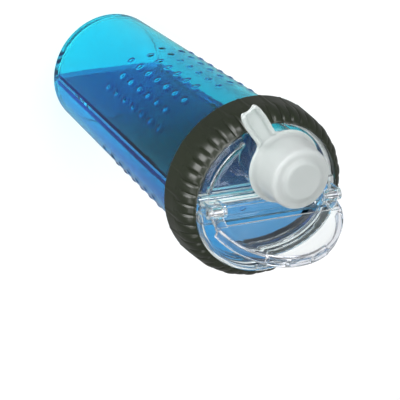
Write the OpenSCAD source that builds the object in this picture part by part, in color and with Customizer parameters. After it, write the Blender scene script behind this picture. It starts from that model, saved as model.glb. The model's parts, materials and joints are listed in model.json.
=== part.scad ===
// Two-chamber travel bottle for a dog: a tapered clear blue body split by a
// middle wall, a ribbed screw collar, a clear lid with a capped drinking spout
// on one half and a hinged dry-food door on the other.
// +Z points out of the mouth, the origin is the middle of the base on the
// table, the middle wall lies on y = 0 and the food door faces -Y.
// The door is drawn open at door_open degrees, as stored.

/* [Body] */
// Outer radius at the foot
base_r = 33.6; // [33:0.1:34.5]
// Outer radius of the neck
neck_r = 40.7; // [40.5:0.1:40.8]
// Height at which the taper meets the neck
cone_h = 168; // [160:1:169]
// Wall thickness of the tapered part
wall = 2.2; // [1.8:0.1:2.6]
// Height of the chamber floor above the table
floor_z = 3; // [2.6:0.1:3.4]
// Thickness of the middle wall
divider_t = 2; // [1.6:0.1:2.2]

/* [Screw] */
// Rise of the collar in one turn
pitch = 5; // [4.5:0.1:5.5]
// Length of each screw ridge in turns
turns = 1.25; // [1:0.05:1.3]

/* [Collar] */
// Largest outer radius of the collar, over its ribs
collar_r = 47.1; // [46.8:0.1:47.4]
// Inner radius of the lip that holds the lid down
lip_r = 40; // [39.8:0.1:40.2]
// Number of ribs round the collar
ribs = 24; // [20:1:28]
// Depth of the hollows between the ribs
rib_depth = 0.5; // [0.3:0.1:0.8]
// Direction of the first rib, degrees from +X
rib_az = 10; // [0:0.5:15]

/* [Lid] */
// Radius of the flange that the collar clamps
flange_r = 42.4; // [42:0.1:42.5]
// Radius of the raised half-round panel on the water side
panel_r = 33.8; // [33:0.1:34.5]
// Outer radius of the wall round the food mouth
mouth_r = 39; // [38.8:0.1:39.3]
// Distance of the mouth's straight side from the middle
mouth_y = 8.5; // [8:0.1:9]
// Thickness of the wall round the food mouth
mouth_w = 1.2; // [1:0.1:1.2]

/* [Spout and cap] */
// Distance of the spout from the middle
spout_y = 23; // [22.5:0.1:23]
// Outer radius of the spout's boss
boss_r = 16.7; // [16.5:0.1:16.7]
// Radius of the drinking bore
bore_r = 11.5; // [10:0.1:11.8]
// Radius of the cap's flange
cap_flange_r = 19.5; // [19.2:0.1:19.8]
// Direction of the pull tab, degrees from +X
tab_az = 125; // [110:1:140]
// Reach of the pull tab from the cap's middle
tab_reach = 41.5; // [36:0.5:42]
// Width of the pull tab
tab_w = 11.6; // [10:0.1:12]

/* [Food door] */
// Half of the door's width
door_r = 37.1; // [36.8:0.1:37.2]
// Reach of the door's skirt from the middle of the bottle
door_l = 35.9; // [35.5:0.1:36]
// Thickness of the door's skirt
door_w = 2.2; // [1.8:0.1:2.4]
// Opening angle of the door as drawn
door_open = 66; // [0:1:90]
// Radius of the hinge pins
pin_r = 1.3; // [1:0.05:1.4]

/* [Hidden] */
$fn = 96;

top_z = 190;            // inner edge of the collar's lip
rim_z = 183;            // top of the body's neck
lip_z = 187;            // underside of the collar's lip
collar_z = 167.4;       // lower edge of the collar
flange_z = 184.5;       // underside of the lid's flange
flange_top = 186.9;
neck_ri = neck_r - 2.5; // inside of the neck
bore_c = 42.9;          // inside of the collar's skirt
hinge_y = 0;
hinge_z = 197.8;
mouth_top = 193.8;      // top of the wall round the food mouth
door_top = 195.8;       // outside of the closed door
skirt_z = 190.3;        // lower edge of the closed door's skirt
cap_z = 203.5;          // underside of the cap's flange
cap_top = 224.6;
pin_gap = 0.05;

// Half-round outline: a circle cut off by a line parallel to X.
// side = 1 keeps y > y0, side = -1 keeps y < -y0.
module half_round(r, y0, side = 1, cy = 0)
  intersection() {
    translate([0, cy]) circle(r);
    translate([-60, side > 0 ? y0 : -60 - y0]) square([120, 60]);
  }

// Ring between two half-round outlines, w wide all round
module half_ring(r, y0, w, side = 1, cy = 0)
  difference() {
    half_round(r, y0, side, cy);
    half_round(r - w, y0 + w, side, cy);
  }

// One screw ridge, a trapezium carried up a helix.
// ra is the root radius, rb the tip radius, wa and wb the widths there.
module ridge(ra, rb, z0, wa, wb, a0 = 0, n = 40) {
  last = floor(n * turns);
  pts = [for (i = [0:last])
           let (a = a0 + 360 * i / n, z = z0 + pitch * i / n)
           each [[ra * cos(a), ra * sin(a), z - wa / 2],
                 [rb * cos(a), rb * sin(a), z - wb / 2],
                 [rb * cos(a), rb * sin(a), z + wb / 2],
                 [ra * cos(a), ra * sin(a), z + wa / 2]]];
  sides = [for (i = [0:last - 1], j = [0:3])
             let (k = (j + 1) % 4)
             [4 * i + j, 4 * i + k, 4 * i + 4 + k, 4 * i + 4 + j]];
  flip = rb > ra;
  faces = concat([flip ? [3, 2, 1, 0] : [0, 1, 2, 3]],
                 [for (s = sides) flip ? s : [s[3], s[2], s[1], s[0]]],
                 [flip ? [4 * last, 4 * last + 1, 4 * last + 2, 4 * last + 3]
                       : [4 * last + 3, 4 * last + 2, 4 * last + 1, 4 * last]]);
  polyhedron(pts, faces);
}

// Tapered bottle with a flat base and a plain neck that carries the screw
module bottle_body()
  color([0.12, 0.52, 0.82, 0.55]) {
    rotate_extrude()
      polygon([[0, 0], [base_r - 1.3, 0], [base_r - 0.6, 0.2],
               [base_r - 0.15, 0.6], [base_r + 0.05, 1.3],
               [neck_r, cone_h], [neck_r, rim_z - 0.6], [neck_r - 0.6, rim_z],
               [neck_ri + 0.5, rim_z], [neck_ri, rim_z - 0.5],
               [neck_ri, cone_h], [base_r - wall + 0.2, floor_z + 4],
               [base_r - wall - 0.2, floor_z + 2],
               [base_r - wall - 1.4, floor_z + 0.5],
               [base_r - wall - 3, floor_z], [0, floor_z]]);
    ridge(neck_r - 0.6, neck_r + 1.6, 173.6, 2.8, 1.2);
  }

// Middle wall, moulded in one with the body; its edges run into the wall
module chamber_divider()
  color([0.10, 0.40, 0.72, 0.6])
    intersection() {
      rotate_extrude()
        polygon([[0, floor_z - 0.4], [base_r - wall - 2, floor_z - 0.4],
                 [base_r - wall - 0.6, floor_z + 0.4],
                 [base_r - wall + 0.3, floor_z + 1.9],
                 [base_r - wall + 0.6, floor_z + 4],
                 [neck_ri + 0.35, cone_h], [neck_ri + 0.35, 179.4],
                 [35.2, 179.4], [35.2, 180.9], [0, 180.9]]);
      translate([-60, -divider_t / 2, 0]) cube([120, divider_t, 200]);
    }

// Ribbed ring with an inner screw ridge and an inward lip over the lid
module screw_collar()
  color([0.20, 0.23, 0.18]) {
    difference() {
      rotate_extrude()
        polygon([[bore_c, collar_z + 0.6], [bore_c + 0.6, collar_z],
                 [collar_r - 0.9, collar_z], [collar_r, collar_z + 0.9],
                 [collar_r - 0.4, 178.5], [collar_r - 0.8, 181.6],
                 [collar_r - 1.6, 184.8], [collar_r - 3.2, 187.9],
                 [collar_r - 5.1, 189.7], [collar_r - 6.1, 190.3],
                 [lip_r + 0.3, 190.35], [lip_r, 190.1],
                 [lip_r, lip_z + 0.3], [lip_r + 0.3, lip_z],
                 [bore_c, lip_z]]);
      // hollows between the ribs
      for (i = [0:ribs - 1])
        rotate((i + 0.5) * 360 / ribs + rib_az)
          translate([collar_r - rib_depth + 10, 0, 160])
            cylinder(r = 10, h = 23);
      // notches across the sloping front
      for (i = [0:2 * ribs - 1])
        rotate((i + 0.5) * 180 / ribs + rib_az)
          translate([collar_r - 0.85, 0, 185.3]) rotate([0, -28, 0])
            cylinder(r = 1.6, h = 16, center = true);
    }
    ridge(bore_c + 0.6, bore_c - 1.7, 176.1, 2.8, 1.2);
  }

// One pair of ears for a hinge pin; the inner ear runs forward as a web
module ears(side)
  for (x = [[28, 29.5, 8.5], [35.8, 37.6, 3.1]])
    translate([side > 0 ? x[0] : -x[1], 0, 0])
      rotate([90, 0, 90])
        linear_extrude(x[1] - x[0])
          union() {
            translate([hinge_y, hinge_z]) circle(3.1);
            polygon([[hinge_y - x[2], flange_top - 0.2], [hinge_y + 3.1, flange_top - 0.2],
                     [hinge_y + 3.1, hinge_z], [hinge_y - 2.6, hinge_z - 1.4],
                     [hinge_y - x[2], hinge_z - 5.6]]);
          }

// Clear plate: clamped flange, raised panel, walled food mouth and hinge ears
module lid_plate()
  color([0.75, 0.82, 0.88, 0.4])
    difference() {
      union() {
        // flange
        translate([0, 0, flange_z]) cylinder(r = flange_r, h = flange_top - flange_z);
        // skirt that centres the lid in the neck
        translate([0, 0, 180]) cylinder(r = neck_ri - 0.5, h = 5);
        // raised panel on the water side with a thin upstanding edge
        translate([0, 0, flange_top - 0.5])
          linear_extrude(2.9) half_round(panel_r, 5.6, 1, 0.6);
        translate([0, 0, flange_top - 0.5])
          linear_extrude(4.1) half_ring(panel_r, 5.6, 1.3, 1, 0.6);
        // bridge between panel and mouth, with ribs along it
        translate([-31.6, -mouth_y + 0.2, flange_top - 0.5])
          cube([63.2, mouth_y + 5.6, 2.4]);
        for (r = [[1.8, 2.5], [-2.3, 2.6]])
          translate([-33, r[0], flange_top])
            cube([66, r[1], 3.5]);
        // ends of the bridge, out to the collar's lip
        translate([-41, -3, flange_top - 0.5]) cube([82, 8.8, 2.8]);
        // wall round the food mouth; its arc runs on to the hinges
        translate([0, 0, flange_top - 0.5])
          linear_extrude(mouth_top - flange_top + 0.5) {
            half_ring(mouth_r, mouth_y - mouth_w, mouth_w, -1);
            difference() {
              half_round(mouth_r, 2, -1);
              circle(mouth_r - mouth_w);
            }
          }
        // catch lug that faces the window in the door's skirt
        intersection() {
          difference() {
            translate([0, 0, 192]) cylinder(r = mouth_r - 0.4, h = 1.2);
            translate([0, 0, 191]) cylinder(r = mouth_r - mouth_w - 0.6, h = 4);
          }
          translate([-4.5, -45, 190]) cube([9, 20, 10]);
        }
        ears(1);
        ears(-1);
      }
      // hollow under the skirt, in front of and behind the seal's channel
      difference() {
        translate([0, 0, 179]) cylinder(r = neck_ri - 2.5, h = flange_z - 179);
        for (s = [-1, 1])
          translate([-60, s * 2.2 - 0.6, 179.5]) cube([120, 1.2, 10]);
      }
      translate([-60, -4, 178]) cube([120, 8, 1.5]);
      // food mouth, right through
      translate([0, 0, 178])
        linear_extrude(12) half_round(neck_ri - 2.5, mouth_y, -1);
      translate([0, 0, flange_top + 0.4])
        linear_extrude(2.8) half_round(mouth_r - mouth_w, mouth_y, -1);
      // hollow under the raised panel
      translate([0, 0, flange_z - 0.1])
        linear_extrude(3.1) half_round(panel_r - 2, 7.4, 1, 0.6);
      // seat of the spout
      translate([0, spout_y, 180]) cylinder(r = boss_r, h = 20);
      translate([0, spout_y, 180]) cylinder(r = boss_r - 1.6, h = 4.5);
      // pin bores
      for (s = [-1, 1])
        translate([s * 32.6, hinge_y, hinge_z]) rotate([0, 90, 0])
          cylinder(r = pin_r + pin_gap, h = 14, center = true);
      // flats that keep the raised parts inside the collar
      difference() {
        translate([0, 0, flange_top + 0.05]) cylinder(r = 60, h = 30);
        translate([0, 0, flange_top]) cylinder(r = lip_r - 0.6, h = 31);
      }
    }

// Wide boss with the drinking nozzle on top, open down to the water
module spout_neck()
  color([0.55, 0.68, 0.80, 0.45])
    translate([0, spout_y, 0])
      rotate_extrude()
        polygon([[bore_r, 219.4], [bore_r, 200.6], [bore_r + 0.9, 199.6],
                 [boss_r - 2.6, 198.4], [boss_r - 1.6, 197], [boss_r - 1.6, flange_z],
                 [boss_r - 0.02, flange_z], [boss_r - 0.02, 190.6],
                 [boss_r - 0.5, 202.2], [boss_r - 1.4, 203.2],
                 [14.3, 203.2], [14.3, 206.6], [14.55, 207], [14.55, 208],
                 [14.3, 208.4], [14.3, 219], [13.9, 219.6], [bore_r + 0.3, 219.6]]);

// Outline of the pull tab, pointing along +X from the cap's middle
module tab_outline(w, reach)
  difference() {
    union() {
      translate([cap_flange_r - 4, -w / 2]) square([reach - cap_flange_r + 4, w]);
      // webs that widen the tab where it leaves the flange
      polygon([[cap_flange_r - 3.5, -w / 2 - 3.6], [cap_flange_r + 1, -w / 2 - 0.9],
               [cap_flange_r + 6, -w / 2], [cap_flange_r + 6, w / 2],
               [cap_flange_r + 1, w / 2 + 0.9], [cap_flange_r - 3.5, w / 2 + 3.6]]);
    }
    // scalloped end
    translate([reach + 3.2, 0]) circle(3.9);
    // rounded corners
    for (s = [-1, 1])
      translate([reach, s * (w / 2 + 0.6)]) rotate(s * -52) square([8, 3], center = true);
  }

// Milky push-on cap with a flange and a pull tab
module spout_cap()
  color([0.86, 0.88, 0.86, 0.9])
    translate([0, spout_y, 0]) {
      rotate_extrude()
        polygon([[14.7, cap_z + 0.4], [15.1, cap_z], [cap_flange_r - 0.8, cap_z],
                 [cap_flange_r, cap_z + 0.8], [cap_flange_r, cap_z + 1.4],
                 [cap_flange_r - 0.8, cap_z + 2.2], [18, cap_z + 2.8],
                 [17, cap_z + 4], [16.1, cap_top - 3.8], [15.7, cap_top - 2.5],
                 [14.9, cap_top - 1.8], [11.7, cap_top - 1.8], [11.2, cap_top - 1.1],
                 [10.6, cap_top - 0.2], [10, cap_top],
                 [0, cap_top], [0, 221.4], [14, 221.4], [14.7, 220.7]]);
      rotate(tab_az) {
        translate([0, 0, cap_z + 0.2]) linear_extrude(1.6)
          tab_outline(tab_w, tab_reach);
        // raised side rims
        for (s = [-1, 1])
          translate([cap_flange_r - 1.5, s * (tab_w / 2 - 0.9) - 0.9, cap_z + 0.2])
            cube([tab_reach - cap_flange_r - 0.5, 1.8, 3.4]);
      }
    }

// Soft disc pressed into the cap that closes the nozzle
module cap_liner()
  color([0.93, 0.93, 0.90])
    translate([0, spout_y, 219.8]) cylinder(r = 13.9, h = 1.6);

// Flat ring between the flange and the top of the neck
module rim_gasket()
  color([0.9, 0.9, 0.88])
    translate([0, 0, rim_z + 0.05])
      difference() {
        cylinder(r = neck_r - 0.2, h = flange_z - rim_z - 0.05);
        translate([0, 0, -1]) cylinder(r = neck_ri + 0.2, h = 10);
      }

// Strip in the lid's channel that closes on top of the middle wall
module divider_seal()
  color([0.9, 0.9, 0.88])
    translate([-35.5, -1.5, 181]) cube([71, 3, flange_z - 181]);

// The door is built closed, then swung up about its pins
module swung()
  translate([0, hinge_y, hinge_z])
    rotate([-door_open, 0, 0])
      translate([0, -hinge_y, -hinge_z]) children();

// The door's outline in plan, drawn in by d: a half ellipse beyond y = -y0
module door_outline(d, y0)
  intersection() {
    polygon([for (a = [180:4:360]) [(door_r - d) * cos(a), (door_l - d) * sin(a)]]);
    translate([-60, -60 - y0]) square([120, 60]);
  }

// Clear half-round door: flat plate, skirt along its arc with a thicker catch
// block in three windows, and two hinge barrels on arms
module food_door()
  color([0.80, 0.86, 0.92, 0.4])
    swung()
      difference() {
        union() {
          // plate
          translate([0, 0, mouth_top + 0.3])
            linear_extrude(door_top - mouth_top - 0.3) door_outline(0, 7.6);
          // skirt along the arc only
          translate([0, 0, skirt_z]) linear_extrude(door_top - skirt_z)
            difference() {
              door_outline(0, mouth_y + 0.5);
              door_outline(door_w, 0);
            }
          // catch block
          translate([0, 0, skirt_z]) linear_extrude(door_top - skirt_z)
            intersection() {
              difference() {
                door_outline(-0.4, mouth_y + 0.5);
                door_outline(door_w + 0.8, 0);
              }
              polygon([[0, 0], [-23.1, -40], [23.1, -40]]);
            }
          // arms and barrels
          for (s = [-1, 1])
            translate([s * 32.65 - 2.95, 0, 0]) {
              translate([0, -9, mouth_top + 0.3]) cube([5.9, 9 + hinge_y, 2.3]);
              translate([0, hinge_y, hinge_z]) rotate([0, 90, 0])
                cylinder(r = 3, h = 5.9);
            }
        }
        // pin bores
        for (s = [-1, 1])
          translate([s * 32.6, hinge_y, hinge_z]) rotate([0, 90, 0])
            cylinder(r = pin_r + pin_gap, h = 14, center = true);
        // three windows in the outside of the catch block
        for (w = [[0, 5.8], [-20.5, 4.6], [20.5, 4.6]])
          rotate(w[0])
            translate([-w[1], -door_l - 3, skirt_z + 1])
              cube([2 * w[1], w[0] == 0 ? 4.2 : 4, 3.5]);
      }

// Two steel pins, one in each hinge
module hinge_pins()
  color([0.75, 0.76, 0.78])
    for (s = [-1, 1])
      translate([s > 0 ? 28.1 : -37.5, hinge_y, hinge_z]) rotate([0, 90, 0])
        cylinder(r = pin_r, h = 9.4);

bottle_body();
chamber_divider();
screw_collar();
lid_plate();
spout_neck();
spout_cap();
cap_liner();
rim_gasket();
divider_seal();
food_door();
hinge_pins();
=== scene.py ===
import json
import math

import bmesh
import bpy
import numpy as np
from mathutils import Matrix, Vector

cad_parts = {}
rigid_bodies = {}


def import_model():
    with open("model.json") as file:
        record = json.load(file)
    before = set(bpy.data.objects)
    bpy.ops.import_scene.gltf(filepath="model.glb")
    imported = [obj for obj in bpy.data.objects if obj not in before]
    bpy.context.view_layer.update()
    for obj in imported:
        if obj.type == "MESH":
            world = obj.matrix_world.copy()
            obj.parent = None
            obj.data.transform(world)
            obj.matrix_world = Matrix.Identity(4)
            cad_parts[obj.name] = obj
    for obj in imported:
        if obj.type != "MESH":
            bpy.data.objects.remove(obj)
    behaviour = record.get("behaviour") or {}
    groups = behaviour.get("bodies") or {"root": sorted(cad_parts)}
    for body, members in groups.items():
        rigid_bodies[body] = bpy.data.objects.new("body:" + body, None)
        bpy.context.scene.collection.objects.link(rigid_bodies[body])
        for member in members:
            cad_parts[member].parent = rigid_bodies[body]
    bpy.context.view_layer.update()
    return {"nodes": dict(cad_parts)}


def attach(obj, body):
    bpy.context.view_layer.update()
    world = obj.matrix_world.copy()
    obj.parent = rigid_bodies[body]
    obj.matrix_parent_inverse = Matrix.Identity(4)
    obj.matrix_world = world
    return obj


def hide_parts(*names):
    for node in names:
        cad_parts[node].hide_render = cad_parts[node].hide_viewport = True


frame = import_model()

NODES = frame["nodes"]
MM = 0.001

for o in list(bpy.data.objects):
    if o.type in {"LIGHT", "CAMERA"} or o.name == "Cube":
        bpy.data.objects.remove(o)


# ---------------------------------------------------------------- camera
cam_data = bpy.data.cameras.new("camera")
cam = bpy.data.objects.new("camera", cam_data)
bpy.context.scene.collection.objects.link(cam)
cam_data.sensor_width = 36.0
cam_data.lens = 2300.0 / 400.0 * 36.0
cam_data.clip_start = 0.05
cam_data.clip_end = 20.0
cam_data.dof.use_dof = False
CAM_POS = Vector((-0.53953017, 0.46698242, 1.10699384))
CAM_ROT = Matrix(((0.8881889996, 0.1367212492, -0.4386657052),
                  (0.0595102853, 0.9124328579, 0.4048762846),
                  (0.4556081945, -0.3857117835, 0.8022765067)))
cam.matrix_world = Matrix.Translation(CAM_POS) @ CAM_ROT.to_4x4()
bpy.context.scene.camera = cam

# clear walls behind clear walls need many bounces
cyc = bpy.context.scene.cycles
cyc.max_bounces = 32
cyc.glossy_bounces = 24
cyc.transmission_bounces = 32
cyc.transparent_max_bounces = 24
cyc.diffuse_bounces = 6


# ------------------------------------------------------------- materials
def new_mat(name):
    m = bpy.data.materials.new(name)
    m.use_nodes = True
    nt = m.node_tree
    nt.nodes.clear()
    out = nt.nodes.new("ShaderNodeOutputMaterial")
    bsdf = nt.nodes.new("ShaderNodeBsdfPrincipled")
    nt.links.new(bsdf.outputs["BSDF"], out.inputs["Surface"])
    return m, nt, bsdf, out


def node(nt, kind, **kw):
    n = nt.nodes.new(kind)
    for k, v in kw.items():
        setattr(n, k, v)
    return n


def coords(nt):
    return nt.nodes.new("ShaderNodeTexCoord").outputs["Object"]


def noise(nt, scale, detail=3.0, rough=0.5, stretch=None, vec=None):
    src = vec if vec is not None else coords(nt)
    if stretch is not None:
        mp = nt.nodes.new("ShaderNodeMapping")
        mp.inputs["Scale"].default_value = stretch
        nt.links.new(src, mp.inputs["Vector"])
        src = mp.outputs["Vector"]
    n = nt.nodes.new("ShaderNodeTexNoise")
    n.inputs["Scale"].default_value = scale
    n.inputs["Detail"].default_value = detail
    n.inputs["Roughness"].default_value = rough
    nt.links.new(src, n.inputs["Vector"])
    return n.outputs["Fac"]


def ramp(nt, fac, stops, interp="LINEAR"):
    r = nt.nodes.new("ShaderNodeValToRGB")
    r.color_ramp.interpolation = interp
    el = r.color_ramp.elements
    while len(el) < len(stops):
        el.new(0.5)
    for e, (p, c) in zip(el, stops):
        e.position = p
        e.color = (*c, 1.0) if len(c) == 3 else c
    nt.links.new(fac, r.inputs["Fac"])
    return r.outputs["Color"]


def remap(nt, fac, lo, hi, a=0.0, b=1.0):
    m = nt.nodes.new("ShaderNodeMapRange")
    m.inputs["From Min"].default_value = a
    m.inputs["From Max"].default_value = b
    m.inputs["To Min"].default_value = lo
    m.inputs["To Max"].default_value = hi
    nt.links.new(fac, m.inputs["Value"])
    return m.outputs["Result"]


def bump(nt, bsdf, height, strength, distance):
    b = nt.nodes.new("ShaderNodeBump")
    b.inputs["Strength"].default_value = strength
    b.inputs["Distance"].default_value = distance
    nt.links.new(height, b.inputs["Height"])
    nt.links.new(b.outputs["Normal"], bsdf.inputs["Normal"])


def multiply(nt, a, b, fac=1.0):
    m = node(nt, "ShaderNodeMix", data_type="RGBA", blend_type="MULTIPLY")
    m.inputs["Factor"].default_value = fac
    nt.links.new(a, m.inputs[6])
    nt.links.new(b, m.inputs[7])
    return m.outputs[2]


def let_lamps_through(nt, bsdf, out, tint):
    """Shadow rays pass, so that what lies behind clear plastic is lit."""
    path = nt.nodes.new("ShaderNodeLightPath")
    clear = nt.nodes.new("ShaderNodeBsdfTransparent")
    clear.inputs["Color"].default_value = (*tint, 1.0)
    mix = nt.nodes.new("ShaderNodeMixShader")
    nt.links.new(path.outputs["Is Shadow Ray"], mix.inputs["Fac"])
    nt.links.new(bsdf.outputs["BSDF"], mix.inputs[1])
    nt.links.new(clear.outputs["BSDF"], mix.inputs[2])
    nt.links.new(mix.outputs["Shader"], out.inputs["Surface"])


def mat_blue(name, stops, ior, food_side=None):
    """Tinted clear plastic whose depth of colour changes along the bottle."""
    m, nt, b, out = new_mat(name)
    sep = nt.nodes.new("ShaderNodeSeparateXYZ")
    nt.links.new(coords(nt), sep.inputs["Vector"])
    along = remap(nt, sep.outputs["Z"], 0.0, 1.0, 0.0, 0.185)
    tint = ramp(nt, along, stops)
    if food_side:
        # the food half looks a deeper blue than the water half
        half = remap(nt, sep.outputs["Y"], 1.0, 0.0, -0.010, 0.002)
        mix = node(nt, "ShaderNodeMix", data_type="RGBA")
        nt.links.new(half, mix.inputs["Factor"])
        nt.links.new(tint, mix.inputs[6])
        nt.links.new(ramp(nt, along, food_side), mix.inputs[7])
        tint = mix.outputs[2]
    var = ramp(nt, noise(nt, 22.0, 2.0), [(0.3, (0.93, 0.95, 0.97)), (0.7, (1.0, 1.0, 1.0))])
    nt.links.new(multiply(nt, tint, var), b.inputs["Base Color"])
    b.inputs["Transmission Weight"].default_value = 1.0
    b.inputs["IOR"].default_value = ior
    nt.links.new(remap(nt, noise(nt, 260.0, 4.0, 0.6), 0.015, 0.075, 0.35, 0.75), b.inputs["Roughness"])
    bump(nt, b, noise(nt, 55.0, 2.0), 0.10, 0.0008)
    let_lamps_through(nt, b, out, (0.95, 0.98, 0.99))
    return m


def mat_clear(name="clear_plastic", col=(0.920, 0.945, 0.945), rim=None):
    m, nt, b, out = new_mat(name)
    var = ramp(nt, noise(nt, 40.0, 2.0), [(0.3, tuple(c * 0.97 for c in col)), (0.7, col)])
    if rim:
        # painted shade: the door's deep rim is tinted greyer than its plate, standing in for the darker look
        # of seeing through more plastic there
        sep = nt.nodes.new("ShaderNodeSeparateXYZ")
        nt.links.new(coords(nt), sep.inputs["Vector"])

        def lin(sock, k, c):
            q = node(nt, "ShaderNodeMath", operation="MULTIPLY_ADD")
            nt.links.new(sock, q.inputs[0])
            q.inputs[1].default_value = k
            q.inputs[2].default_value = c
            return q.outputs[0]

        def both(op, u, v):
            q = node(nt, "ShaderNodeMath", operation=op)
            nt.links.new(u, q.inputs[0])
            nt.links.new(v, q.inputs[1])
            return q.outputs[0]

        tilt = math.radians(66.0)
        away = both("ADD", lin(sep.outputs["Y"], -math.cos(tilt) / 0.0359, 0.0),
                    lin(sep.outputs["Z"], math.sin(tilt) / 0.0359, -0.1978 * math.sin(tilt) / 0.0359))
        across = lin(sep.outputs["X"], 1.0 / 0.0371, 0.0)
        e = both("ADD", both("MULTIPLY", away, away), both("MULTIPLY", across, across))
        # painted shade: an oval mask in the door's plane greys the plastic towards the rim
        band = ramp(nt, remap(nt, e, 0.0, 1.0, 0.78, 0.90), [(0.0, (1.0, 1.0, 1.0)), (1.0, rim)])
        var = multiply(nt, var, band)
    nt.links.new(var, b.inputs["Base Color"])
    b.inputs["Transmission Weight"].default_value = 0.988
    b.inputs["IOR"].default_value = 1.49
    nt.links.new(remap(nt, noise(nt, 300.0, 4.0, 0.6), 0.01, 0.06, 0.35, 0.75), b.inputs["Roughness"])
    bump(nt, b, noise(nt, 90.0, 2.0), 0.08, 0.0005)
    let_lamps_through(nt, b, out, (0.93, 0.95, 0.97))
    return m


def mat_collar():
    m, nt, b, out = new_mat("collar_plastic")
    big = ramp(nt, noise(nt, 38.0, 3.0), [(0.25, (0.0045, 0.0095, 0.0008)), (0.75, (0.0085, 0.0145, 0.0030))])
    fine = ramp(nt, noise(nt, 900.0, 2.0), [(0.3, (0.90, 0.90, 0.90)), (0.7, (1.0, 1.0, 1.0))])
    nt.links.new(multiply(nt, big, fine), b.inputs["Base Color"])
    nt.links.new(remap(nt, noise(nt, 120.0, 4.0, 0.6), 0.29, 0.35, 0.3, 0.7), b.inputs["Roughness"])
    b.inputs["IOR"].default_value = 1.50
    b.inputs["Specular IOR Level"].default_value = 0.80
    bump(nt, b, noise(nt, 1400.0, 3.0, 0.6), 0.12, 0.0001)
    return m


def mat_milky():
    m, nt, b, out = new_mat("milky_plastic")
    col = ramp(nt, noise(nt, 30.0, 3.0), [(0.25, (0.425, 0.460, 0.452)), (0.75, (0.465, 0.495, 0.492))])
    nt.links.new(col, b.inputs["Base Color"])
    b.inputs["Subsurface Weight"].default_value = 1.0
    b.inputs["Subsurface Radius"].default_value = (1.0, 1.05, 1.02)
    b.inputs["Subsurface Scale"].default_value = 0.005
    nt.links.new(remap(nt, noise(nt, 180.0, 3.0), 0.30, 0.42, 0.3, 0.7), b.inputs["Roughness"])
    bump(nt, b, noise(nt, 700.0, 2.0), 0.06, 0.0001)
    return m


def mat_silicone():
    m, nt, b, out = new_mat("soft_seal")
    col = ramp(nt, noise(nt, 60.0, 3.0), [(0.25, (0.60, 0.61, 0.59)), (0.75, (0.72, 0.72, 0.70))])
    nt.links.new(col, b.inputs["Base Color"])
    b.inputs["Subsurface Weight"].default_value = 0.4
    b.inputs["Subsurface Radius"].default_value = (1.0, 1.0, 1.0)
    b.inputs["Subsurface Scale"].default_value = 0.0015
    nt.links.new(remap(nt, noise(nt, 300.0, 3.0), 0.45, 0.60, 0.3, 0.7), b.inputs["Roughness"])
    return m


def mat_steel():
    m, nt, b, out = new_mat("pin_steel")
    col = ramp(nt, noise(nt, 300.0, 3.0, stretch=(0.08, 1.0, 1.0)), [(0.3, (0.58, 0.59, 0.61)), (0.7, (0.72, 0.73, 0.75))])
    nt.links.new(col, b.inputs["Base Color"])
    b.inputs["Metallic"].default_value = 1.0
    nt.links.new(remap(nt, noise(nt, 500.0, 3.0, stretch=(0.05, 1.0, 1.0)), 0.18, 0.36, 0.3, 0.7), b.inputs["Roughness"])
    return m


def mat_floor():
    m, nt, b, out = new_mat("floor")
    col = ramp(nt, noise(nt, 3.0, 2.0), [(0.3, (0.92, 0.92, 0.92)), (0.7, (0.94, 0.94, 0.94))])
    nt.links.new(col, b.inputs["Base Color"])
    b.inputs["Roughness"].default_value = 0.9
    b.inputs["Specular IOR Level"].default_value = 0.1
    return m


BLUE = mat_blue("clear_blue_plastic", [(0.0, (0.030, 0.750, 0.845)), (0.45, (0.030, 0.690, 0.825)),
                                       (1.0, (0.035, 0.580, 0.670))], 1.42,
                [(0.0, (0.050, 0.580, 0.830)), (0.45, (0.070, 0.380, 0.730)), (1.0, (0.070, 0.270, 0.520))])
# the middle wall, of the same plastic, gets a much darker tint than the outer walls, darkest some 110 mm up,
# and a lower IOR so it mirrors less
BLUE_MID = mat_blue("clear_blue_wall", [(0.0, (0.05, 0.11, 0.38)), (0.30, (0.02, 0.065, 0.28)),
                                        (0.60, (0.015, 0.015, 0.08)), (0.8, (0.02, 0.05, 0.13)),
                                        (1.0, (0.03, 0.22, 0.30))], 1.10)
# painted shade: the steep edges of the grip dots take a deeper blue, standing in for the dark rings refraction
# gives them
BLUE_DOT_PAINTED_SHADE = mat_blue("clear_blue_dot_painted_shade", [(0.0, (0.02, 0.20, 0.56)), (0.6, (0.015, 0.17, 0.52)),
                                       (1.0, (0.015, 0.14, 0.44))], 1.42)
# painted shade: the outer wall where the middle wall runs into it takes a deeper blue, standing in for the
# dark line refraction draws there
BLUE_JOIN_PAINTED_SHADE = mat_blue("clear_blue_join_painted_shade", [(0.0, (0.02, 0.24, 0.60)), (0.6, (0.02, 0.20, 0.55)),
                                         (1.0, (0.02, 0.16, 0.45))], 1.42)
CLEAR, COLLAR = mat_clear(), mat_collar()
DOOR_WITH_RIM_SHADE = mat_clear("clear_door_painted_rim_shade", rim=(0.80, 0.79, 0.83))
MILKY, SOFT, STEEL = mat_milky(), mat_silicone(), mat_steel()


# ---------------------------------------------------------- mesh helpers
def add_object(name, verts, faces, mat, body, replaces=(), smooth=True, sharp=None):
    me = bpy.data.meshes.new(name)
    me.from_pydata([tuple(v) for v in verts], [], [tuple(f) for f in faces])
    me.validate()
    bm = bmesh.new()
    bm.from_mesh(me)
    bmesh.ops.recalc_face_normals(bm, faces=bm.faces)
    bm.to_mesh(me)
    bm.free()
    for p in me.polygons:
        p.use_smooth = smooth
    if sharp is not None:
        me.set_sharp_from_angle(angle=math.radians(sharp))
    me.materials.append(mat)
    o = bpy.data.objects.new(name, me)
    bpy.context.scene.collection.objects.link(o)
    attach(o, body)
    if replaces:
        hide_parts(*replaces)
    return o


def polar(r, a, z):
    return (r * math.cos(a) * MM, r * math.sin(a) * MM, z * MM)


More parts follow.
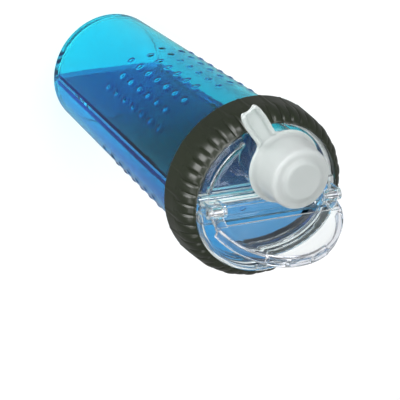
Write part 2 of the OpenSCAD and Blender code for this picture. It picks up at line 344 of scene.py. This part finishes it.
# ------------------------------------------------------------ blue body
COLS = 400
BASE_R, NECK_R, CONE_H, RIM_Z = 33.6, 40.7, 168.0, 183.0
NECK_RI = 38.2
PITCH = 5.0


def outer_r(z):
    return BASE_R + (NECK_R - BASE_R) * min(z, CONE_H) / CONE_H


# grip dots: columns every 15 degrees on each half, even and odd ones staggered
DOTS = []
for n in list(range(2, 11)) + list(range(14, 23)):
    first, count = (66.4, 7) if n % 2 == 0 else (71.8, 6)
    for i in range(count):
        DOTS.append((15.0 * n, first + 10.92 * i))


def body_offset(theta_deg, z):
    """How far the outer wall stands out at this place (arrays, mm)."""
    h = np.zeros(np.broadcast(theta_deg, z).shape)
    r = BASE_R + (NECK_R - BASE_R) * np.minimum(z, CONE_H) / CONE_H
    for a, zc in DOTS:
        du = (theta_deg - a + 180.0) % 360.0 - 180.0
        d2 = (np.radians(du) * r) ** 2 + (z - zc) ** 2
        t2 = d2 / 1.95 ** 2
        h = np.maximum(h, 0.55 * np.clip(1.0 - t2, 0.0, None) ** 0.80)
    # screw ridge on the neck
    for turn in (0, 1):
        a = theta_deg + 360.0 * turn
        zc = 173.6 + PITCH * a / 360.0
        side = np.clip((1.4 - np.abs(z - zc)) / 0.8, 0.0, 1.0)
        ends = np.clip(a / 14.0, 0.0, 1.0) * np.clip((450.0 - a) / 14.0, 0.0, 1.0)
        h = np.maximum(h, 1.6 * side * ends)
    return h


def build_body():
    verts, faces = [], []

    def ring(pts):
        i0 = len(verts)
        verts.extend(pts)
        return list(range(i0, i0 + len(pts)))

    ang = np.arange(COLS) * 2 * math.pi / COLS
    deg = np.degrees(ang)
    # rows of the outside, from the base's middle up and over the rim
    prof = []
    for r in (6.0, 14.0, 22.0, 28.0):
        prof.append((r, 0.0))
    for i in range(7):
        t = math.radians(-90 + 90 * i / 6)
        prof.append((32.5 + 1.14 * math.cos(t), 1.1 + 1.1 * math.sin(t)))
    zs = [2.4, 5, 10, 18, 28, 38, 48, 56, 62]
    zs += list(np.arange(63.6, 135.0, 0.6))
    zs += [137, 142, 150, 158, 164, 168, 170]
    zs += list(np.arange(171.6, 182.3, 0.5))
    for z in zs:
        prof.append((outer_r(z), float(z)))
    for i in range(1, 6):
        t = math.radians(90 * i / 5)
        prof.append((40.1 + 0.6 * math.cos(t), 182.4 + 0.6 * math.sin(t)))
    for i in range(1, 6):
        t = math.radians(90 + 90 * i / 5)
        prof.append((38.7 + 0.5 * math.cos(t), 182.5 + 0.5 * math.sin(t)))
    prof.append((38.2, 181.0))
    prof.append((38.2, 179.9))
    rings = []
    for r, z in prof:
        off = 0.0
        if 3.0 < z < 182.3 and r > 40.0 or (3.0 < z < 170.0):
            if abs(r - outer_r(z)) < 0.2:
                off = body_offset(deg, np.full(COLS, z))
        rr = r + off * np.ones(COLS)
        rings.append(ring([polar(rr[j], ang[j], z) for j in range(COLS)]))
    c = len(verts)
    verts.append((0.0, 0.0, 0.0))
    for j in range(COLS):
        faces.append((c, rings[0][(j + 1) % COLS], rings[0][j]))
    for a, b in zip(rings, rings[1:]):
        for j in range(COLS):
            k = (j + 1) % COLS
            faces.append((a[j], a[k], b[k], b[j]))
    neck = rings[-1]

    # the two half-round chambers
    levels = [(179.9, 38.2, 0.8), (168.0, 38.2, 0.8)]
    for z in (140, 110, 80, 50, 30, 15):
        levels.append((z, 31.6 + (38.2 - 31.6) * (z - 7.0) / 161.0, 0.8))
    levels += [(9.0, 31.66, 0.8), (6.5, 31.55, 0.82), (5.2, 31.35, 0.9), (4.3, 30.95, 1.05),
               (3.6, 30.4, 1.3), (3.15, 29.7, 1.7), (3.0, 28.9, 2.1)]
    j0 = 3
    half = COLS // 2

    def bez(p, q, s, n):
        out = []
        for i in range(1, n + 1):
            t = i / (n + 1)
            out.append(((1 - t) ** 2 * p[0] + 2 * t * (1 - t) * q[0] + t * t * s[0],
                        (1 - t) ** 2 * p[1] + 2 * t * (1 - t) * q[1] + t * t * s[1]))
        return out

    tops = {}
    for side in (1, -1):
        js = list(range(j0, half - j0 + 1))
        prev = None
        for z, r, y0 in levels:
            a0 = 2 * math.pi * j0 / COLS
            p0 = (r * math.cos(a0), r * math.sin(a0))
            ctl = (math.sqrt(r * r - y0 * y0) - 0.15, y0)
            p2 = (p0[0] - 1.1, y0)
            fil = bez(p0, ctl, p2, 5)
            right = fil + [p2]                      # from the arc's start inwards
            n = 14
            mid = [(p2[0] - 2 * p2[0] * i / n, y0) for i in range(1, n)]
            left = [(-x, y) for x, y in reversed(right)]
            flat = right + mid + left               # from right to left
            arc = [(r * math.cos(2 * math.pi * j / COLS), r * math.sin(2 * math.pi * j / COLS)) for j in js]
            if side == 1:
                ring_js = js
            else:
                ring_js = [(COLS - j) % COLS for j in js]
            if prev is None:
                arc_idx = [neck[j] for j in ring_js]
            else:
                arc_idx = ring([(x * MM, side * y * MM, z * MM) for x, y in arc])
            flat_idx = ring([(x * MM, side * y * MM, z * MM) for x, y in flat])
            loop = arc_idx + flat_idx[::-1]
            if prev is None:
                tops[side] = flat_idx
            else:
                n_l = len(loop)
                for i in range(n_l):
                    k = (i + 1) % n_l
                    faces.append((prev[i], prev[k], loop[k], loop[i]))
            prev = loop
        faces.append(tuple(prev))
    # top of the middle wall
    poly = [neck[j] for j in range(COLS - j0, COLS)] + [neck[j] for j in range(0, j0 + 1)]
    poly += tops[1]
    poly += [neck[j] for j in range(half - j0, half + j0 + 1)]
    poly += tops[-1][::-1]
    faces.append(tuple(poly))
    o = add_object("bottle_shell", verts, faces, BLUE, "bottle",
                   ("bottle_body", "chamber_divider"), sharp=50)
    o.data.materials.append(BLUE_MID)
    o.data.materials.append(BLUE_DOT_PAINTED_SHADE)
    o.data.materials.append(BLUE_JOIN_PAINTED_SHADE)
    for p in o.data.polygons:
        c = p.center
        inside = math.hypot(c.x, c.y) < outer_r(c.z * 1000.0) * MM - 0.001
        if inside and abs(c.y) < 0.0032 and 0.0031 < c.z < 0.1798:
            p.material_index = 1
        out = math.hypot(c.x, c.y) - outer_r(c.z * 1000.0) * MM
        # painted shade: the grip dots' flanks take the deeper blue dot material
        if 0.060 < c.z < 0.140 and 0.00004 < out < 0.00040:
            p.material_index = 2
        # painted shade: the strip of outer wall along the middle wall takes the deeper blue join material
        if abs(c.y) < 0.0017 and 0.0024 < c.z < 0.170 and out > -0.0001:
            p.material_index = 3
    return o


build_body()


# -------------------------------------------------------------- collar
def build_collar():
    n_a = 720
    ang = np.arange(n_a) * 2 * math.pi / n_a
    deg = np.degrees(ang)
    # u runs from -0.5 to 0.5 across one rib, with the rib's crest at 0
    u = ((deg - 10.0) / 15.0 + 0.5) % 1.0 - 0.5
    ub = 0.5 - np.abs(u)

    pts = []   # (r, z, how far along from band to slope, depth weight)

    def add(r, z, t, w):
        pts.append((r, z, t, w))

    def line(p, q, n, t0, t1, w0, w1):
        for i in range(n):
            f = (i + 1) / n
            add(p[0] + (q[0] - p[0]) * f, p[1] + (q[1] - p[1]) * f, t0 + (t1 - t0) * f, w0 + (w1 - w0) * f)

    add(43.5, 167.4, 0.0, 0.0)
    line((43.5, 167.4), (46.2, 167.4), 3, 0, 0, 0, 1)
    for i in range(1, 7):
        a = math.radians(-90 + 90 * i / 6)
        add(46.2 + 0.9 * math.cos(a), 168.3 + 0.9 * math.sin(a), 0.0, 1.0)
    line((47.1, 168.3), (46.75, 177.6), 14, 0.0, 0.10, 1, 1)
    # a curve whose slope changes evenly from the band to the inner edge
    knots = [(46.75, 177.6), (46.35, 181.4), (45.4, 184.9), (43.8, 187.9), (42.1, 189.6), (40.95, 190.3)]
    tw = [(0.10, 1.0), (0.60, 1.0), (1.0, 1.0), (1.0, 1.0), (1.0, 0.85), (1.0, 0.25)]
    ext = [(47.1, 173.6)] + knots + [(40.2, 190.5)]
    for i in range(5):
        p0, p1, p2, p3 = (np.array(q) for q in ext[i:i + 4])
        steps = (8, 8, 8, 6, 5)[i]
        for k in range(1, steps + 1):
            f = k / steps
            q = 0.5 * (2 * p1 + (p2 - p0) * f + (2 * p0 - 5 * p1 + 4 * p2 - p3) * f * f
                       + (3 * p1 - p0 - 3 * p2 + p3) * f ** 3)
            add(q[0], q[1], tw[i][0] + (tw[i + 1][0] - tw[i][0]) * f, tw[i][1] + (tw[i + 1][1] - tw[i][1]) * f)
    line((40.95, 190.3), (40.3, 190.35), 2, 1, 1, 0.25, 0)
    line((40.3, 190.35), (40.0, 190.05), 2, 1, 1, 0, 0)
    line((40.0, 190.05), (40.0, 187.3), 3, 1, 1, 0, 0)
    line((40.0, 187.3), (40.3, 187.0), 2, 1, 1, 0, 0)
    line((40.3, 187.0), (42.9, 187.0), 2, 1, 1, 0, 0)
    first_inner = len(pts)
    for z in np.arange(186.0, 184.0, -1.0):
        add(42.9, z, 0, 0)
    for z in np.arange(184.4, 173.8, -0.45):
        add(42.9, z, 0, 0)
    add(42.9, 172.5, 0, 0)
    add(42.9, 168.0, 0, 0)

    P = np.array(pts)
    # section normals
    rz = P[:, :2]
    nxt, prv = np.roll(rz, -1, 0), np.roll(rz, 1, 0)
    tan = nxt - prv
    tan /= np.linalg.norm(tan, axis=1)[:, None]
    nrm = np.stack([tan[:, 1], -tan[:, 0]], 1)
    verts, faces = [], []
    for i, (r, z, t, w) in enumerate(pts):
        s = t * t * (3 - 2 * t)
        # a soft rib on the band runs on as a rounded lobe of the slope
        rib = (1 - s) * (0.50 * np.exp(-(u / 0.10) ** 2) - 0.50) - s * 1.05 * (np.abs(u) / 0.26) ** 3.3
        # the flat between two ribs ends in a lobe with crisp sides
        flat = (1 - s) * (-0.24 + 0.0 * ub) - s * (0.28 + 0.9 * (ub / 0.232) ** 5)
        h = np.maximum(np.maximum(rib, flat), -0.95)
        d = h * w
        rr = r + nrm[i, 0] * d
        zz = z + nrm[i, 1] * d
        if i >= first_inner:
            for turn in (0, 1):
                a = deg + 360.0 * turn
                zc = 176.1 + PITCH * a / 360.0
                side = np.clip((1.4 - np.abs(z - zc)) / 0.8, 0.0, 1.0)
                ends = np.clip(a / 14.0, 0, 1) * np.clip((450.0 - a) / 14.0, 0, 1)
                rr = np.minimum(rr, r - 1.7 * side * ends)
        for j in range(n_a):
            verts.append(polar(rr[j], ang[j], zz[j] if np.ndim(zz) else zz))
    m = len(pts)
    for i in range(m):
        k = (i + 1) % m
        for j in range(n_a):
            q = (j + 1) % n_a
            faces.append((i * n_a + j, i * n_a + q, k * n_a + q, k * n_a + j))
    return add_object("ribbed_collar", verts, faces, COLLAR, "collar",
                      ("screw_collar",), sharp=42)


build_collar()


# ----------------------------------------- clear parts from the CAD solids
def from_cad(name, cad, mat, body, bevel=0.25, segments=2, limit=32, sharp=40):
    src = NODES[cad].data
    bm = bmesh.new()
    bm.from_mesh(src)
    bmesh.ops.remove_doubles(bm, verts=bm.verts, dist=2e-6)
    bmesh.ops.dissolve_limit(bm, angle_limit=math.radians(0.6), verts=bm.verts, edges=bm.edges)
    bmesh.ops.recalc_face_normals(bm, faces=bm.faces)
    me = bpy.data.meshes.new(name)
    bm.to_mesh(me)
    bm.free()
    for p in me.polygons:
        p.use_smooth = True
    me.set_sharp_from_angle(angle=math.radians(sharp))
    me.materials.clear()
    me.materials.append(mat)
    o = bpy.data.objects.new(name, me)
    bpy.context.scene.collection.objects.link(o)
    if bevel:
        md = o.modifiers.new("edges", "BEVEL")
        md.width = bevel * MM
        md.segments = segments
        md.limit_method = "ANGLE"
        md.angle_limit = math.radians(limit)
        md.harden_normals = False
        md.use_clamp_overlap = True
    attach(o, body)
    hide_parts(cad)
    return o


from_cad("clear_lid", "lid_plate", CLEAR, "lid", 0.25)
from_cad("clear_spout", "spout_neck", CLEAR, "lid", 0.3)
from_cad("clear_door", "food_door", DOOR_WITH_RIM_SHADE, "door", 0.3)
from_cad("lid_gasket", "rim_gasket", SOFT, "lid", 0.2)
from_cad("wall_gasket", "divider_seal", SOFT, "lid", 0.3)
from_cad("cap_disc", "cap_liner", SOFT, "cap", 0.2)
from_cad("steel_pins", "hinge_pins", STEEL, "lid", 0.15)


# ------------------------------------------------------------------- cap
SPOUT_Y = 23.0
TAB_AZ = math.radians(125.0)


def smooth01(x):
    x = np.clip(x, 0.0, 1.0)
    return x * x * (3 - 2 * x)


def cap_shells():
    """Closed shells of the cap in millimetres: the turned cup and its tab."""
    verts, faces = [], []
    # cup, from its bore's ceiling round the skirt, flange and drum to the top
    prof = [(14.75, 221.3), (14.75, 204.1), (15.2, 203.5), (18.7, 203.5), (19.25, 203.75),
            (19.5, 204.3), (19.45, 204.9), (19.1, 205.4), (18.4, 205.75), (17.7, 206.3),
            (17.25, 207.1), (17.0, 208.2), (16.55, 213.5), (16.15, 219.5), (15.95, 221.0),
            (15.6, 222.0), (14.9, 222.65), (14.0, 222.95), (13.0, 223.05), (12.2, 223.2),
            (11.6, 223.4), (11.1, 223.65), (10.6, 223.9), (10.1, 224.15), (9.5, 224.35),
            (8.8, 224.48), (7.6, 224.5), (4.0, 224.5)]
    n = 160
    for r, z in prof:
        for j in range(n):
            a = 2 * math.pi * j / n
            verts.append((r * math.cos(a), r * math.sin(a), z))
    m = len(prof)
    for i in range(m - 1):
        for j in range(n):
            k = (j + 1) % n
            faces.append((i * n + j, i * n + k, (i + 1) * n + k, (i + 1) * n + j))
    faces.append(tuple(range((m - 1) * n, m * n)))
    faces.append(tuple(range(n - 1, -1, -1)))

    # tab: a shallow trough whose rims fade out at the flange and curl at the tip
    na, nb = 110, 41
    a_s = np.linspace(15.6, 41.4, na)
    keys = [15.6, 17.6, 18.6, 19.5, 21.0, 23.0, 27.0, 32.0, 36.0, 39.0, 40.6, 41.4]
    vals = [8.0, 8.0, 6.8, 6.0, 5.45, 5.45, 5.75, 5.9, 5.6, 5.15, 4.7, 3.9]
    hw = np.interp(a_s, keys, vals)
    t = np.linspace(-1.0, 1.0, nb)
    i0 = len(verts)
    ca, sa = math.cos(TAB_AZ), math.sin(TAB_AZ)
    for top in (1, 0):
        for i in range(na):
            a, w = a_s[i], hw[i]
            for tj in t:
                b = w * tj
                # the end is scalloped: its middle stops short of the corners
                tip = smooth01((a - 36.0) / 5.4)
                ax = a - 1.5 * tip * math.exp(-(b / 2.6) ** 2) - 0.55 * tip * (abs(tj) > 0.97)
                grow = smooth01((a - 18.4) / 3.0)
                edge = smooth01((abs(b) - (w - 2.9)) / 1.3)
                rise = 0.9 * smooth01((a - 36.5) / 4.6)
                z_top = 205.2 + 1.75 * edge * grow * (1 - 0.25 * tip) + rise
                z_bot = 203.7 + 0.8 * rise + 0.35 * edge * grow
                z = z_top if top else z_bot
                verts.append((ax * ca - b * sa, ax * sa + b * ca, z))
    lo = i0 + na * nb
    for i in range(na - 1):
        for j in range(nb - 1):
            q = i * nb + j
            faces.append((i0 + q, i0 + q + nb, i0 + q + nb + 1, i0 + q + 1))
            faces.append((lo + q, lo + q + 1, lo + q + nb + 1, lo + q + nb))
    for i in range(na - 1):
        for j in (0, nb - 1):
            q = i * nb + j
            f = (i0 + q, lo + q, lo + q + nb, i0 + q + nb)
            faces.append(f if j == 0 else f[::-1])
    for j in range(nb - 1):
        for i in (0, na - 1):
            q = i * nb + j
            f = (i0 + q, i0 + q + 1, lo + q + 1, lo + q)
            faces.append(f if i == 0 else f[::-1])
    return verts, faces


def build_cap():
    verts, faces = cap_shells()
    me = bpy.data.meshes.new("cap_raw")
    me.from_pydata(verts, [], faces)
    bm = bmesh.new()
    bm.from_mesh(me)
    bmesh.ops.recalc_face_normals(bm, faces=bm.faces)
    bm.to_mesh(me)
    bm.free()
    raw = bpy.data.objects.new("cap_raw", me)
    bpy.context.scene.collection.objects.link(raw)
    rm = raw.modifiers.new("join", "REMESH")
    rm.mode = "VOXEL"
    rm.voxel_size = 0.36
    sm = raw.modifiers.new("soften", "SMOOTH")
    sm.factor = 0.5
    sm.iterations = 5
    deps = bpy.context.evaluated_depsgraph_get()
    done = bpy.data.meshes.new_from_object(raw.evaluated_get(deps))
    bpy.data.objects.remove(raw)
    v = np.array([tuple(q.co) for q in done.vertices])
    v[:, 1] += SPOUT_Y
    v *= MM
    f = [tuple(q.vertices) for q in done.polygons]
    bpy.data.meshes.remove(done)
    return add_object("milky_cap", v.tolist(), f, MILKY, "cap", ("spout_cap",))


build_cap()


# --------------------------------------------------------- floor, lights
me = bpy.data.meshes.new("floor")
S = 6.0
me.from_pydata([(-S, -S, -0.0004), (S, -S, -0.0004), (S, S, -0.0004), (-S, S, -0.0004)], [], [(0, 1, 2, 3)])
floor = bpy.data.objects.new("floor", me)
bpy.context.scene.collection.objects.link(floor)
me.materials.append(mat_floor())
# the sheet lights the scene but stays out of the plastic's own reflections
floor.visible_glossy = False

world = bpy.data.worlds.new("studio")
bpy.context.scene.world = world
world.use_nodes = True
bg = world.node_tree.nodes["Background"]
bg.inputs["Color"].default_value = (1.0, 1.0, 1.0, 1.0)
bg.inputs["Strength"].default_value = 0.29

X_C, Y_C, Z_C = (Vector(CAM_ROT.col[i]) for i in range(3))
TARGET = Vector((0.0, 0.0, 0.16))


def area(name, x, y, z, dist, size, power, color=(1, 1, 1), size_y=None):
    """Area light placed by its direction seen from the camera."""
    d = (X_C * x + Y_C * y + Z_C * z).normalized()
    li = bpy.data.lights.new(name, "AREA")
    li.energy = power
    li.color = color
    li.shape = "RECTANGLE"
    li.size = size
    li.size_y = size_y or size
    o = bpy.data.objects.new(name, li)
    bpy.context.scene.collection.objects.link(o)
    pos = TARGET + d * dist
    o.matrix_world = Matrix.Translation(pos) @ d.to_track_quat("Z", "Y").to_matrix().to_4x4()
    return o


def lamp(name, az, el, dist, size, power):
    """Area light placed round the bottle by compass and height angle."""
    a, e = math.radians(az), math.radians(el)
    d = Vector((math.cos(a) * math.cos(e), math.sin(a) * math.cos(e), math.sin(e)))
    li = bpy.data.lights.new(name, "AREA")
    li.energy = power
    li.shape = "RECTANGLE"
    li.size = size[0]
    li.size_y = size[1]
    o = bpy.data.objects.new(name, li)
    bpy.context.scene.collection.objects.link(o)
    o.matrix_world = Matrix.Translation(TARGET + d * dist) @ d.to_track_quat("Z", "Y").to_matrix().to_4x4()
    return o


lamp("key_light", 150.0, 11.0, 1.3, (1.0, 0.9), 13.5)
lamp("side_light", 98.0, 30.0, 1.3, (0.6, 0.5), 4.0)
lamp("low_light", 200.0, 24.0, 1.3, (0.7, 0.5), 2.0)


def overhead(name, x, y, z, size, power):
    li = bpy.data.lights.new(name, "AREA")
    li.energy = power
    li.size = size
    o = bpy.data.objects.new(name, li)
    bpy.context.scene.collection.objects.link(o)
    o.location = (x, y, z)
    return o


overhead("top_light", 0.2, 0.5, 2.6, 2.2, 56.0)

bpy.context.scene.view_settings.view_transform = "Standard"
bpy.context.scene.view_settings.look = "None"
